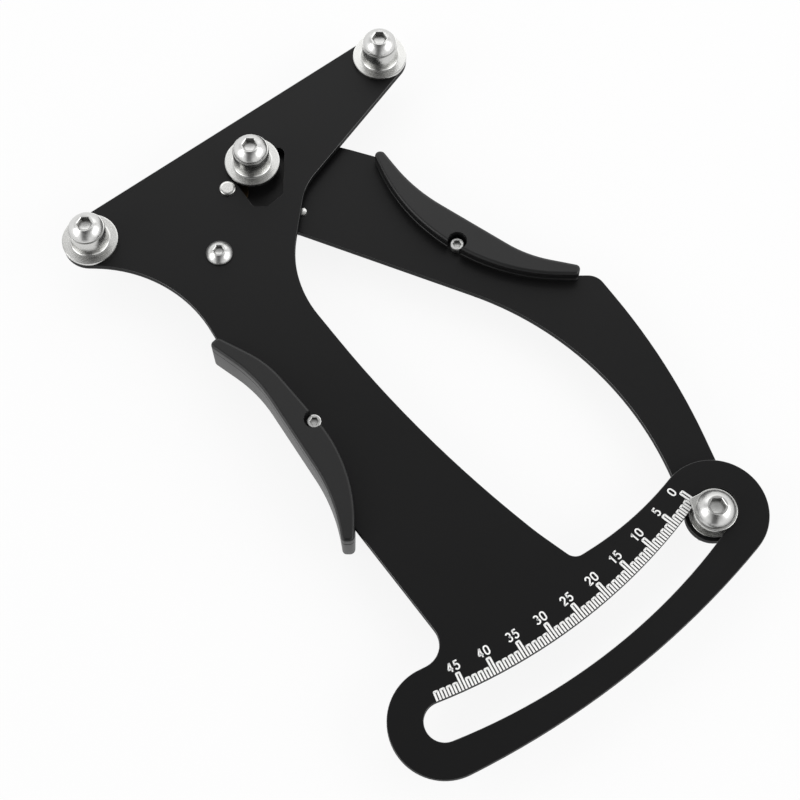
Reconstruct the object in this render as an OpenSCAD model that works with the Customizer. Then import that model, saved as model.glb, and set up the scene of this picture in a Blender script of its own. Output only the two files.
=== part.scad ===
// Spoke tension meter: two flat plates that pivot like a pair of pliers.
// The body plate carries two spoke posts, the scale slot and the lower grip.
// The lever plate behind it carries the middle post, the pointer and the upper grip.
// X runs to the right and Y up the face, +Z is the face with the scale.
// The origin lies on the pivot's axis, in the plane that the tool rests on.

/* [Plates] */
// thickness of the body plate and of the lever plate
plate_t = 2; // [1.6:0.1:2.4]
// space between the two plates, filled by the pivot washer
plate_gap = 1; // [0.8:0.1:1.3]
// height of the lever plate's back above the resting plane
lever_back = 7; // [6.6:0.1:9]

/* [Scale] */
// radius of the slot's middle about the pivot
scale_r = 161.8; // [140:0.2:194]
// width of the slot
slot_w = 10.4; // [10.3:0.1:12]
// direction of the pointer at rest, from the pivot
rest_angle = -36; // [-40:0.5:-35]
// how far the lever turns when the grips are squeezed
squeeze = 31.5; // [24:0.5:33]
// radius of the round ends of the scale plate
head_r = 14.4; // [13:0.1:16]
// radius of the scale plate's outer edge, which is a little flatter than the slot
outer_r = 240; // [200:5:300]

/* [Spoke posts] */
// distance from the left post to the right post
post_span = 100.3; // [92:0.1:110]
// direction of the line through the two posts
post_tilt = 37.2; // [34:0.1:40]
// diameter of the flange at the foot of each post
flange_d = 15.6; // [14:0.1:16]
// thickness of that flange at its rim
flange_t = 1.2; // [0.8:0.1:1.8]
// diameter of the post's neck
neck_d = 9.6; // [8:0.1:10]
// height of a post, from the plate to the screw head
post_h = 7.5; // [6:0.1:10]
// distance of the middle post from the pivot
mid_reach = 10.52; // [10:0.02:12]

/* [Grips] */
// height of each grip, from its back to its face
grip_h = 12.4; // [11:0.1:15]
// how far the grips' faces stand above their plates
grip_proud = 4.2; // [3.6:0.1:5]
// radius of the grips' rounded edges
grip_edge = 0.8; // [0.4:0.1:1]

/* [Spring] */
// diameter of the spring wire
wire_d = 1.4; // [1.1:0.05:1.5]
// diameter of the coil at the middle of the wire
coil_d = 11.2; // [10.6:0.1:12]
// whole turns of the coil besides the part turn between its legs
coil_turns = 2; // [1:1:2]

/* [Hidden] */
$fn = 64;

// arms drawn for a scale radius of 161.8 mm are stretched by this
reach = scale_r / 161.8;
// heights of the plates, from the resting plane
lever_top = lever_back + plate_t;
body_back = lever_top + plate_gap;
body_top = body_back + plate_t;

// clearances
running_fit = 0.05; // each side of a turning bore, and above and below a turning plate
seat_fit = 0.02;    // each side of a screw in its hole
lift = 0.5;         // from the body plate to the middle post's flange

// places on the face
post_mid = [2.52, 13.62];
post_dir = [cos(post_tilt), sin(post_tilt)];
left_post_at = post_mid - post_dir * post_span / 2;
right_post_at = post_mid + post_dir * post_span / 2;
mid_angle = 50.4;
mid_at = mid_reach * [cos(mid_angle), sin(mid_angle)];
anchor_at = [-1.4, -20.4];
peg_at = [21.1, -5.6];
slot_over = 0.6; // degrees of slot past each end of the pointer's travel
far_angle = rest_angle - squeeze - slot_over;
pointer_at = scale_r * [cos(rest_angle), sin(rest_angle)];
far_head = scale_r * [cos(far_angle), sin(far_angle)];
body_grip_at = [26.2, -71.2] * reach;
lever_grip_at = [64.6, -16.6] * reach;

// pivot
journal_d = 6;
barrel_d = 8;
pivot_flange_d = 11;
pivot_flange_t = 0.8;
pivot_tip_d = 4.6;
washer_d = 11.2;

// hardware: [thread, head diameter, head height, hex socket]
m4_button = [4, 7.5, 2.1, 2.5];
m5_button = [5, 9.5, 2.75, 3];
m6_button = [6, 10.5, 3.3, 4];
m25_cap = [2.5, 4.2, 2, 1.5];
bush_d = 9;
post_edge_r = 7.7;
lever_tip_r = 7.2;
pointer_disc_d = 11.6;
pointer_disc_t = 1.2;
pointer_bush_d = 10;
spacer_d = 6.4;
peg_d = 4.4;
rivet_d = 6;
thread_over = 0.6; // how far a thread stands out of its nut
cut = 1;           // how far a cutter runs past a face

// ---- outline functions ----

function unit(v) = v / norm(v);
function angle_of(v) = atan2(v[1], v[0]);

// points of an arc, every 6 degrees or so, and farther apart on a small one
function arc(c, r, from, to) =
  let (n = max(2, ceil(abs(to - from) / max(6, 30 / r))))
  [for (i = [0:n]) c + r * [cos(from + (to - from) * i / n), sin(from + (to - from) * i / n)]];

// one corner b of the path a-b-c, rounded with radius r
function corner(a, b, c, r) =
  let (
    u = unit(a - b),
    v = unit(c - b),
    half = acos(max(-1, min(1, u * v))) / 2,
    mid = b + unit(u + v) * r / sin(half),
    from = angle_of(b + u * r / tan(half) - mid),
    raw = angle_of(b + v * r / tan(half) - mid) - from,
    sweep = raw > 180 ? raw - 360 : raw < -180 ? raw + 360 : raw
  )
  arc(mid, r, from, from + sweep);

// a closed path of [x, y, r] corners with every corner rounded
function rounded(path) =
  [for (i = [0:len(path) - 1])
    let (a = path[(i + len(path) - 1) % len(path)], b = path[i], c = path[(i + 1) % len(path)])
    for (p = corner([a[0], a[1]], [b[0], b[1]], [c[0], c[1]], b[2])) p];

// corners between two fixed ends, which aren't given back
function chain(start, path, end) =
  [for (i = [0:len(path) - 1])
    let (
      a = i == 0 ? start : [path[i - 1][0], path[i - 1][1]],
      c = i == len(path) - 1 ? end : [path[i + 1][0], path[i + 1][1]]
    )
    for (p = corner(a, [path[i][0], path[i][1]], c, path[i][2])) p];

// a corner out on an arm, moved with the scale radius
function arm(x, y, r) = [x * reach, y * reach, r];

// the same outline moved inwards by d, point by point, for outlines drawn clockwise
function inset(path, d) =
  [for (i = [0:len(path) - 1])
    let (
      a = path[(i + len(path) - 1) % len(path)],
      b = path[i],
      c = path[(i + 1) % len(path)],
      n1 = unit([b[1] - a[1], a[0] - b[0]]),
      n2 = unit([c[1] - b[1], b[0] - c[0]])
    )
    b + (n1 + n2) * d / (1 + n1 * n2)];

// the outline without points closer together than 0.01 mm
function tidy(path) =
  [for (i = [0:len(path) - 1]) if (norm(path[i] - path[(i + 1) % len(path)]) > 0.01) path[i]];

// ---- outlines, all drawn clockwise ----

post_side = post_tilt + 90;
left_edge_end = left_post_at + post_edge_r * [0, -1];
right_edge_end = right_post_at + post_edge_r * [cos(-38), sin(-38)];

// centre of the outer edge's arc, which touches both round ends
half_band = (rest_angle - far_angle) / 2;
band_angle = rest_angle - half_band;
outer_back = sqrt(pow(outer_r - head_r, 2) - pow(scale_r * sin(half_band), 2)) - scale_r * cos(half_band);
outer_at = -outer_back * [cos(band_angle), sin(band_angle)];
outer_from = angle_of(pointer_at - outer_at);
outer_to = angle_of(far_head - outer_at);

body_outline = tidy(concat(
  arc(left_post_at, post_edge_r, 270, post_side),
  arc(right_post_at, post_edge_r, post_side, -38),
  chain(right_edge_end, [
    [21.7, 1.2, 18],
    [18.2, -28.2, 33],
    arm(54.4, -75.3, 190),
    arm(95.6, -110.3, 9)
  ], pointer_at + head_r * [cos(135), sin(135)]),
  arc(pointer_at, head_r, 135, outer_from),
  arc(outer_at, outer_r, outer_from, outer_to),
  arc(far_head, head_r, outer_to, -245),
  chain(far_head + head_r * [cos(-245), sin(-245)], [
    arm(62.4, -132.9, 6.3),
    arm(36.9, -99.5, 16),
    arm(30.5, -86, 40),
    arm(17.8, -65.5, 30),
    arm(8, -54.3, 16),
    arm(0.5, -49, 3),
    [-14 * reach, -24.8, 39]
  ], left_edge_end)
));

// the gap in the body plate that the middle post's bush moves through
window_outline = rounded([
  [15.6, 13.6, 2], [15.6, -1.4, 1.2], [11.4, -5.4, 1.2], [7.4, -5.4, 1.4], [1.4, 3.4, 1.5], [1.4, 13.6, 2]
]);

// the lever's outline round the middle post, over the grip, round the pointer and back
lever_boss_r = 9;
tip_side = -69;
lever_outline = tidy(concat(
  arc([0, 0], lever_boss_r, 270, 140.4),
  arc(mid_at, lever_boss_r, 140.4, 90),
  chain(mid_at + lever_boss_r * [0, 1], [
    [27, 17.1, 50],
    arm(42, 12.45, 1.6),
    arm(46.8, 3, 16),
    arm(57, -7.4, 40),
    arm(80, -21.6, 40),
    arm(91, -25.2, 20),
    arm(103.6, -25, 5),
    arm(122.2, -51.1, 180)
  ], pointer_at + lever_tip_r * [cos(tip_side + 90), sin(tip_side + 90)]),
  arc(pointer_at, lever_tip_r, tip_side + 90, tip_side - 106),
  chain(pointer_at + lever_tip_r * [cos(tip_side - 106), sin(tip_side - 106)], [
    arm(121.1, -84.5, 26),
    arm(105.8, -45.1, 90),
    [12.5, -9, 12]
  ], [0, -lever_boss_r])
));

body_grip_outline = tidy(rounded([
  arm(-0.3, -47.6, 1.5), arm(13.5, -54.9, 30), arm(37.4, -83.6, 45), arm(37.4, -104.9, 1.4),
  arm(34.15, -104.9, 1.2), arm(32, -92.8, 50), arm(10.3, -59.35, 41), arm(-2.6, -50, 1.3)
]));

lever_grip_outline = tidy(rounded([
  arm(40.7, 12.1, 1.4), arm(43.8, 12.1, 1.4), arm(52.6, 0, 50), arm(83.9, -20.75, 34),
  arm(98.7, -23.9, 1.3), arm(98.1, -26.9, 1.1), arm(57.5, -26.6, 55)
]));

// ---- shapes used more than once ----

// a plate from its outline
module plate(path, z) {
  translate([0, 0, z]) linear_extrude(plate_t) polygon(path);
}

// a moulding h high whose face and back edges are rounded, in nested slabs
module moulding(path, h) {
  // angles round the edge that give each slab's inset and its depth from the face and the back
  for (turn = [[25, 0], [55, 40], [90, 65]]) {
    depth = grip_edge * (1 - cos(turn[1]));
    translate([0, 0, depth]) linear_extrude(h - 2 * depth)
      polygon(inset(path, grip_edge * (1 - sin(turn[0]))));
  }
}

// a hexagon given by the distance across its flats
module hexagon(across) {
  circle(d = across / cos(30), $fn = 6);
}

// a button head screw that stands on z = 0 and reaches down by length
module button_screw(size, length) {
  difference() {
    union() {
      rotate_extrude() polygon(concat(
        [[0, 0], [size[1] / 2, 0], [size[1] / 2, size[2] * 0.22]],
        [for (a = [15:15:75]) [
          size[1] * (0.26 + 0.24 * cos(a)),
          size[2] * (0.22 + 0.78 * sin(a))
        ]],
        [[size[1] * 0.26, size[2]], [0, size[2]]]
      ));
      translate([0, 0, -length]) cylinder(d = size[0] - 2 * seat_fit, h = length);
    }
    translate([0, 0, size[2] * 0.45]) linear_extrude(size[2]) hexagon(size[3]);
  }
}

// a cap head screw that stands on z = 0
module cap_screw(size, length) {
  difference() {
    union() {
      cylinder(d = size[1], h = size[2]);
      translate([0, 0, -length]) cylinder(d = size[0] - 2 * seat_fit, h = length);
    }
    translate([0, 0, size[2] * 0.45]) linear_extrude(size[2]) hexagon(size[3]);
  }
}

// a hex nut that stands on z = 0, with its corners turned off
module hex_nut(thread, across, h) {
  difference() {
    intersection() {
      linear_extrude(h) hexagon(across);
      rotate_extrude() polygon([
        [0, 0], [across * 0.48, 0], [across * 0.6, h * 0.2],
        [across * 0.6, h * 0.8], [across * 0.48, h], [0, h]
      ]);
    }
    translate([0, 0, -cut]) cylinder(d = thread, h = h + 2 * cut);
  }
}

// a turned spoke post that stands on z = 0: a flange, a hollow curve and a neck
module spoke_post(bore) {
  fillet = 2.2;
  difference() {
    rotate_extrude() polygon(concat(
      [[0, 0], [flange_d / 2 - 0.3, 0], [flange_d / 2, 0.3], [flange_d / 2, flange_t - 0.2],
        [flange_d / 2 - 0.2, flange_t]],
      [for (a = [0:15:90]) [
        neck_d / 2 + fillet * (1 - sin(a)),
        flange_t + fillet * (1 - cos(a))
      ]],
      [[neck_d / 2, post_h], [0, post_h]]
    ));
    translate([0, 0, -cut]) cylinder(d = bore, h = post_h + 2 * cut);
  }
}

// ---- body ----

module body_plate() {
  color([0.13, 0.13, 0.14]) difference() {
    plate(body_outline, body_back);
    translate([0, 0, body_back - cut]) linear_extrude(plate_t + 2 * cut) polygon(window_outline);
    scale_slot();
    for (hole = [
      [left_post_at, 5], [right_post_at, 5], [anchor_at, 4], [body_grip_at, 2.5], [[0, 0], pivot_tip_d]
    ])
      translate([hole[0][0], hole[0][1], body_back - cut]) cylinder(d = hole[1], h = plate_t + 2 * cut);
  }
}

// the slot that the pointer runs in, concentric with the pivot and round at both ends
module scale_slot() {
  ends = [rest_angle + slot_over, far_angle];
  wedge = 2 * scale_r;
  translate([0, 0, body_back - cut]) linear_extrude(plate_t + 2 * cut) {
    intersection() {
      difference() {
        circle(r = scale_r + slot_w / 2);
        circle(r = scale_r - slot_w / 2);
      }
      polygon([[0, 0], for (a = ends) wedge * [cos(a), sin(a)]]);
    }
    for (a = ends) translate(scale_r * [cos(a), sin(a)]) circle(d = slot_w);
  }
}

module left_post() {
  color([0.78, 0.78, 0.77]) translate([left_post_at[0], left_post_at[1], body_top]) spoke_post(5);
}

module right_post() {
  color([0.78, 0.78, 0.77]) translate([right_post_at[0], right_post_at[1], body_top]) spoke_post(5);
}

nut5_h = 4;
nut5_across = 8;
post_washer_t = 1;
post_washer_d = 10;
post_screw_l = post_h + plate_t + post_washer_t + nut5_h + thread_over;

module left_post_screw() {
  color([0.8, 0.8, 0.8]) translate([left_post_at[0], left_post_at[1], body_top + post_h])
    button_screw(m5_button, post_screw_l);
}

module right_post_screw() {
  color([0.8, 0.8, 0.8]) translate([right_post_at[0], right_post_at[1], body_top + post_h])
    button_screw(m5_button, post_screw_l);
}

module post_washers() {
  color([0.7, 0.7, 0.7]) for (at = [left_post_at, right_post_at])
    translate([at[0], at[1], body_back - post_washer_t]) difference() {
      cylinder(d = post_washer_d, h = post_washer_t);
      translate([0, 0, -cut]) cylinder(d = 5, h = post_washer_t + 2 * cut);
    }
}

module post_nuts() {
  color([0.7, 0.7, 0.7]) for (at = [left_post_at, right_post_at])
    translate([at[0], at[1], body_back - post_washer_t - nut5_h]) hex_nut(5, nut5_across, nut5_h);
}

// one turned pin: a foot that the tool rests on, the coil's barrel, the lever's journal, the riveted tip
module pivot_pin() {
  barrel_top = lever_back - running_fit;
  tip_top = body_top + 0.8;
  color([0.75, 0.75, 0.74]) rotate_extrude() polygon([
    [0, 0], [pivot_flange_d / 2, 0], [pivot_flange_d / 2, pivot_flange_t],
    [barrel_d / 2, pivot_flange_t], [barrel_d / 2, barrel_top],
    [journal_d / 2, barrel_top], [journal_d / 2, body_back],
    [pivot_tip_d / 2 - seat_fit, body_back], [pivot_tip_d / 2 - seat_fit, tip_top - 0.4],
    [pivot_tip_d / 2 - 0.4, tip_top], [0, tip_top]
  ]);
}

module pivot_washer() {
  color([0.72, 0.6, 0.35]) translate([0, 0, lever_top + running_fit]) difference() {
    cylinder(d = washer_d, h = plate_gap - running_fit);
    translate([0, 0, -cut]) cylinder(d = journal_d + 2 * seat_fit, h = plate_gap + 2 * cut);
  }
}

module spring_screw() {
  color([0.8, 0.8, 0.8]) translate([anchor_at[0], anchor_at[1], body_top])
    button_screw(m4_button, body_top - 0.6);
}

anchor_nut_h = 3.2;
anchor_nut_across = 7;
anchor_nut_z = 0.4;

module spring_spacer() {
  z = anchor_nut_z + anchor_nut_h;
  color([0.75, 0.75, 0.74]) translate([anchor_at[0], anchor_at[1], z]) difference() {
    cylinder(d = spacer_d, h = body_back - z);
    translate([0, 0, -cut]) cylinder(d = 4, h = body_back);
  }
}

module spring_nut() {
  color([0.7, 0.7, 0.7]) translate([anchor_at[0], anchor_at[1], anchor_nut_z])
    hex_nut(4, anchor_nut_across, anchor_nut_h);
}

// ---- torsion spring ----

// The body's leg is the upper one and bears on the spacer, the lever's leg is the lower one
// and bears on the peg: both lines touch the coil on the side away from the other leg.
coil_r = coil_d / 2;
wire_r = wire_d / 2;
leg_seat = 0.05;
spring_low = pivot_flange_t + 0.15 + wire_r;
spring_high = lever_back - 0.2 - wire_r;
anchor_gap = spacer_d / 2 + wire_r + leg_seat;
peg_gap = peg_d / 2 + wire_r + leg_seat;
anchor_normal = angle_of(anchor_at) + acos(-(coil_r + anchor_gap) / norm(anchor_at));
peg_normal = angle_of(peg_at) + acos((coil_r + peg_gap) / norm(peg_at));
anchor_touch = anchor_normal + 180;
coil_sweep = anchor_touch - peg_normal + 360 * coil_turns;
coil_pitch = (spring_high - spring_low) * 360 / coil_sweep;
leg_over = 3;
coil_steps = ceil(coil_sweep / 18);
echo(spring_gap_to_itself = coil_pitch - wire_d);

function spring_path() =
  let (
    d1 = [cos(anchor_normal - 90), sin(anchor_normal - 90)],
    d2 = [cos(peg_normal - 90), sin(peg_normal - 90)],
    t1 = coil_r * [cos(anchor_touch), sin(anchor_touch)],
    t2 = coil_r * [cos(peg_normal), sin(peg_normal)],
    l1 = sqrt(pow(norm(anchor_at), 2) - pow(coil_r + anchor_gap, 2)) + leg_over,
    l2 = sqrt(pow(norm(peg_at), 2) - pow(coil_r + peg_gap, 2)) + leg_over
  )
  concat(
    [for (s = [1, 0.5]) [t1[0] + d1[0] * l1 * s, t1[1] + d1[1] * l1 * s, spring_high]],
    [for (i = [0:coil_steps])
      let (a = anchor_touch - coil_sweep * i / coil_steps)
      [coil_r * cos(a), coil_r * sin(a), spring_high - (spring_high - spring_low) * i / coil_steps]],
    [for (s = [0.5, 1]) [t2[0] + d2[0] * l2 * s, t2[1] + d2[1] * l2 * s, spring_low]]
  );

// a round wire along a path that never runs straight up
module wire(path, r, sides) {
  last = len(path) - 1;
  heading = [for (i = [0:last]) unit(path[min(i + 1, last)] - path[max(i - 1, 0)])];
  points = [for (i = [0:last])
    let (side = unit(cross(heading[i], [0, 0, 1])), up = cross(side, heading[i]))
    for (k = [0:sides - 1])
      path[i] + r * (side * cos(360 * k / sides) + up * sin(360 * k / sides))];
  skin = [for (i = [0:last - 1]) for (k = [0:sides - 1])
    [i * sides + k, (i + 1) * sides + k, (i + 1) * sides + (k + 1) % sides, i * sides + (k + 1) % sides]];
  ends = [[for (k = [0:sides - 1]) k], [for (k = [sides - 1:-1:0]) last * sides + k]];
  polyhedron(points, concat(skin, ends));
}

module torsion_spring() {
  color([0.55, 0.55, 0.56]) wire(spring_path(), wire_r, 10);
}

// ---- grips ----

grip_hole = 5.4;
grip_sink = 2;
nut25_h = 2;
nut25_across = 5;
nut_sink = 2.4;
nut_sink_d = 6.4;
body_grip_back = body_top + grip_proud - grip_h;
lever_grip_back = lever_top + grip_proud - grip_h;
grip_screw_z = grip_h - grip_sink - m25_cap[2];

// a moulding that wraps a plate's outer edge, standing on z = 0, with its screw's holes
module grip(outline, at, plate_outline, plate_z) {
  difference() {
    moulding(outline, grip_h);
    plate(plate_outline, plate_z);
    translate([at[0], at[1], -cut]) cylinder(d = m25_cap[0], h = grip_h + 2 * cut);
    translate([at[0], at[1], grip_screw_z]) cylinder(d = grip_hole, h = grip_h);
    translate([at[0], at[1], -cut]) cylinder(d = nut_sink_d, h = nut_sink + cut);
  }
}

module grip_screw(at, back) {
  translate([at[0], at[1], back + grip_screw_z]) cap_screw(m25_cap, grip_screw_z - 0.4);
}

module grip_nut(at, back) {
  translate([at[0], at[1], back + nut_sink - nut25_h]) hex_nut(m25_cap[0], nut25_across, nut25_h);
}

module body_grip() {
  color([0.2, 0.2, 0.2]) translate([0, 0, body_grip_back])
    grip(body_grip_outline, body_grip_at, body_outline, body_back - body_grip_back);
}

module body_grip_screw() {
  color([0.85, 0.85, 0.85]) grip_screw(body_grip_at, body_grip_back);
}

module body_grip_nut() {
  color([0.7, 0.7, 0.7]) grip_nut(body_grip_at, body_grip_back);
}

module lever_grip() {
  color([0.2, 0.2, 0.2]) translate([0, 0, lever_grip_back])
    grip(lever_grip_outline, lever_grip_at, lever_outline, lever_back - lever_grip_back);
}

module lever_grip_screw() {
  color([0.85, 0.85, 0.85]) grip_screw(lever_grip_at, lever_grip_back);
}

module lever_grip_nut() {
  color([0.7, 0.7, 0.7]) grip_nut(lever_grip_at, lever_grip_back);
}

// ---- lever ----

pointer_thread = 6;

module lever_plate() {
  color([0.12, 0.12, 0.13]) difference() {
    plate(lever_outline, lever_back);
    for (hole = [
      [[0, 0], journal_d + 2 * running_fit], [mid_at, rivet_d], [peg_at, peg_d - 1],
      [lever_grip_at, 2.5], [pointer_at, pointer_thread]
    ])
      translate([hole[0][0], hole[0][1], lever_back - cut]) cylinder(d = hole[1], h = plate_t + 2 * cut);
  }
}

// the post on a bush that runs through the window, riveted behind the lever
module middle_post() {
  spool_z = body_top + lift;
  tail_z = lever_back - 0.6;
  color([0.78, 0.78, 0.77]) translate([mid_at[0], mid_at[1], 0]) difference() {
    union() {
      translate([0, 0, spool_z]) spoke_post(4);
      translate([0, 0, lever_top]) cylinder(d = bush_d, h = spool_z + flange_t - lever_top);
      translate([0, 0, tail_z + 0.6]) cylinder(d = rivet_d - 2 * seat_fit, h = plate_t + cut);
      translate([0, 0, tail_z]) cylinder(d1 = rivet_d + 0.4, d2 = rivet_d + 1.2, h = 0.6);
    }
    translate([0, 0, lever_top + 1.5]) cylinder(d = 5, h = spool_z + post_h);
  }
}

module middle_screw() {
  color([0.8, 0.8, 0.8]) translate([mid_at[0], mid_at[1], body_top + lift + post_h])
    button_screw(m5_button, post_h + 1.4);
}

// the peg that the spring's leg pushes on, with a low riveted head on the lever's face
module spring_pin() {
  foot = 0.9;
  head_top = lever_top + 0.6;
  shank_r = peg_d / 2 - 0.5 - seat_fit;
  color([0.78, 0.78, 0.77]) translate([peg_at[0], peg_at[1], 0]) rotate_extrude() polygon([
    [0, foot], [peg_d / 2 - 0.3, foot], [peg_d / 2, foot + 0.3], [peg_d / 2, lever_back],
    [shank_r, lever_back], [shank_r, lever_top],
    [peg_d / 2, lever_top], [peg_d / 2 - 0.3, head_top], [0, head_top]
  ]);
}

// the bush that carries the pointer through the slot
module pointer_bush() {
  color([0.85, 0.85, 0.84]) translate([pointer_at[0], pointer_at[1], lever_top]) difference() {
    cylinder(d = pointer_bush_d, h = body_top + lift - lever_top);
    translate([0, 0, -cut]) cylinder(d = pointer_thread, h = body_top);
  }
}

// the disc above the scale with a tip that points at the marks
module pointer() {
  along = [cos(rest_angle), sin(rest_angle)];
  across = [-along[1], along[0]];
  tip_at = pointer_at - 8.8 * along;
  side = pointer_disc_d / 2 - 0.6;
  color([0.8, 0.8, 0.79]) translate([0, 0, body_top + lift]) difference() {
    linear_extrude(pointer_disc_t) {
      translate(pointer_at) circle(d = pointer_disc_d);
      polygon([
        pointer_at + side * (across * sin(40) - along * cos(40)),
        tip_at + 0.25 * across,
        tip_at - 0.25 * across,
        pointer_at - side * (across * sin(40) + along * cos(40))
      ]);
    }
    translate([pointer_at[0], pointer_at[1], -cut])
      cylinder(d = pointer_thread, h = pointer_disc_t + 2 * cut);
  }
}

nut6_h = 5;
nut6_across = 10;

module pointer_screw() {
  z = body_top + lift + pointer_disc_t;
  color([0.8, 0.8, 0.8]) translate([pointer_at[0], pointer_at[1], z])
    button_screw(m6_button, z - lever_back + nut6_h + thread_over);
}

module pointer_nut() {
  color([0.7, 0.7, 0.7]) translate([pointer_at[0], pointer_at[1], lever_back - nut6_h])
    hex_nut(pointer_thread, nut6_across, nut6_h);
}

body_plate();
left_post();
right_post();
left_post_screw();
right_post_screw();
post_washers();
post_nuts();
pivot_pin();
pivot_washer();
torsion_spring();
spring_screw();
spring_spacer();
spring_nut();
body_grip();
body_grip_screw();
body_grip_nut();
lever_plate();
middle_post();
middle_screw();
spring_pin();
lever_grip();
lever_grip_screw();
lever_grip_nut();
pointer();
pointer_bush();
pointer_screw();
pointer_nut();
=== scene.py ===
import math
import bmesh
import bpy
from mathutils import Matrix, Vector


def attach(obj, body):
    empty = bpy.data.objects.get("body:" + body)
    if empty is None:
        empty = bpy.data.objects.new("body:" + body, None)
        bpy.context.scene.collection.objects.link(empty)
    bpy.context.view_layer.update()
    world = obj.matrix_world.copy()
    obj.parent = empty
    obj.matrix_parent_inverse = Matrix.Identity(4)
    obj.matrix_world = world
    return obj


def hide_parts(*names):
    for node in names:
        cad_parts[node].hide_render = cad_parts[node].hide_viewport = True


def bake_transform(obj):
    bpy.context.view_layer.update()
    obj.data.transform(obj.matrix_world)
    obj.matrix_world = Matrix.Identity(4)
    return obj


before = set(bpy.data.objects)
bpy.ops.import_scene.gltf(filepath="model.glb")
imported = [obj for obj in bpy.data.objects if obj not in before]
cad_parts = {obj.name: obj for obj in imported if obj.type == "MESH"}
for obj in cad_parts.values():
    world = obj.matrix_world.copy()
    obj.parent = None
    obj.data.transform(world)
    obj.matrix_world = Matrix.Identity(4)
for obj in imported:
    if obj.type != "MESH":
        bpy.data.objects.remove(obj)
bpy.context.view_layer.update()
mm = 0.001
print("frame loaded:", len(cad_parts), "nodes")


class Flow:
    # a socket of a node tree: Python's operators add Math nodes, node() adds any other kind
    def __init__(self, tree, socket=None):
        self.tree = tree
        self.socket = socket

    def node(self, kind, settings=None, sockets=None, out=0):
        made = self.tree.nodes.new(kind)
        for key, value in (settings or {}).items():
            if key == "stops":
                while len(made.color_ramp.elements) < len(value):
                    made.color_ramp.elements.new(0.5)
                for element, (place, grey) in zip(made.color_ramp.elements, value):
                    element.position = place
                    element.color = (grey, grey, grey, 1)
            else:
                setattr(made, key, value)
        for key, value in (sockets or {}).items():
            if isinstance(value, Flow):
                self.tree.links.new(value.socket, made.inputs[key])
            else:
                made.inputs[key].default_value = value
        return Flow(self.tree, made.outputs[out] if len(made.outputs) else None)

    def maths(self, operation, first, second=0.0):
        return self.node("ShaderNodeMath", {"operation": operation}, {0: first, 1: second})

    def vectors(self, operation, first, second=(0, 0, 0), out="Value"):
        return self.node("ShaderNodeVectorMath", {"operation": operation}, {0: first, 1: second}, out)

    def mapped(self, start, stop, low, high):
        # start to stop eased to low to high, and held there beyond
        values = {"Value": self, "From Min": start, "From Max": stop, "To Min": low, "To Max": high}
        return self.node("ShaderNodeMapRange", {"clamp": True, "interpolation_type": "SMOOTHSTEP"}, values)

    def __add__(self, other):
        return self.maths("ADD", self, other)

    def __radd__(self, other):
        return self.maths("ADD", other, self)

    def __sub__(self, other):
        return self.maths("SUBTRACT", self, other)

    def __rsub__(self, other):
        return self.maths("SUBTRACT", other, self)

    def __mul__(self, other):
        return self.maths("MULTIPLY", self, other)

    def __rmul__(self, other):
        return self.maths("MULTIPLY", other, self)

    def __gt__(self, other):
        return self.maths("GREATER_THAN", self, other)

    def __lt__(self, other):
        return self.maths("LESS_THAN", self, other)


def newFinish(name, constants=None):
    material = bpy.data.materials.new(name)
    material.use_nodes = True
    shader = material.node_tree.nodes["Principled BSDF"]
    for key, value in (constants or {}).items():
        shader.inputs[key].default_value = value
    return material, Flow(material.node_tree), shader


def feed(flow, shader, links):
    for key, value in links.items():
        flow.tree.links.new(value.socket, shader.inputs[key])


def noise(flow, place, scale, detail=2.0, rough=0.5):
    values = {"Vector": place, "Scale": scale, "Detail": detail, "Roughness": rough}
    return flow.node("ShaderNodeTexNoise", {}, values)


def shade(flow, mask, *colours):
    # the first colour where the mask is 0, the second where it is 1
    low, high = (colour if isinstance(colour, Flow) else (*colour, 1) for colour in colours)
    return flow.node("ShaderNodeMix", {"data_type": "RGBA"}, {0: mask, 6: low, 7: high}, out=2)


def relief(flow, height, strength, depth):
    return flow.node("ShaderNodeBump", {}, {"Strength": strength, "Distance": depth, "Height": height})


blackCoat = {"dark": (0.0040, 0.0040, 0.0042), "light": (0.0064, 0.0064, 0.0066), "cloud": 26, "grain": 1500,
             "rough": 0.30, "cloudRough": 0.08, "grainRough": 0.06, "relief": 0.10, "depth": 0.00004,
             "gloss": 0.20}
# the rounded edges get a lighter colour than the flat coat: a painted highlight along the plates' edges
paintedEdgeHighlight = dict(blackCoat, dark=(0.010, 0.010, 0.0105), light=(0.024, 0.024, 0.0245), rough=0.18, gloss=0.8)
coatWall = dict(blackCoat, rough=0.50, relief=0.3, gloss=0.15)


def coatFinish(name, coat):
    # a thin black coat on steel: slow clouding with an orange peel in it
    material, flow, shader = newFinish(name, {"Specular IOR Level": coat["gloss"]})
    place = flow.node("ShaderNodeTexCoord", out="Object")
    cloud = noise(flow, place, coat["cloud"], 3.0)
    grain = noise(flow, place, coat["grain"], 2.0, 0.6)
    feed(flow, shader, {
        "Base Color": shade(flow, cloud * 0.7 + grain * 0.3, coat["dark"], coat["light"]),
        "Roughness": cloud * coat["cloudRough"] + (grain * coat["grainRough"] + coat["rough"]),
        "Normal": relief(flow, grain, coat["relief"], coat["depth"])})
    return material


moulded = {"dark": (0.0050, 0.0050, 0.0052), "light": (0.0100, 0.0100, 0.0102), "cloud": 60, "grain": 2600,
           "pits": 2080, "rough": 0.34, "grainRough": 0.14, "relief": 0.18, "depth": 0.00005, "gloss": 0.42}


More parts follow.
